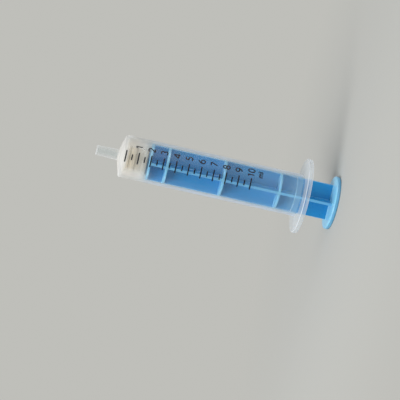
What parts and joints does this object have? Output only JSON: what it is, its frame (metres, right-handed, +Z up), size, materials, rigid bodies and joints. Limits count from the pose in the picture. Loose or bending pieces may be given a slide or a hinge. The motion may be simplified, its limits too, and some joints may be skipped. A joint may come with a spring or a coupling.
{
  "type": "luer slip syringe",
  "caption": "Plastic syringe with a luer slip tip, clear graduated barrel with a round finger flange, and a vaned blue plunger with a rubber seal and a ribbed thumb disc.",
  "frame": {"origin": "centre of the thumb disc's face, on the table, under the syringe's axis", "axes": "+Z up along the syringe's axis, from the thumb disc to the luer tip; the graduated side of the barrel faces -Y"},
  "size_m": [0.0316, 0.0316, 0.1019],
  "materials": {
    "clear_barrel": "clear, slightly milky moulded polypropylene",
    "blue_plunger": "satin blue moulded plastic",
    "cream_rubber": "smooth cream rubber"
  },
  "bodies": {
    "plunger_rod": {"plunger_rod": "blue_plunger"},
    "plunger_seal": {"plunger_seal": "cream_rubber"},
    "barrel": {"barrel": "clear_barrel"}
  },
  "joints": [
    {"name": "plunger_spin", "type": "hinge", "parent": "plunger_rod", "child": "plunger_seal", "pos_m": [0, 0, 0.083], "axis": [0, 0, 1], "continuous": true},
    {"name": "plunger_slide", "type": "slide", "parent": "plunger_seal", "child": "barrel", "axis": [0, 0, 1], "range_m": [0, 0.0604]}
  ]
}
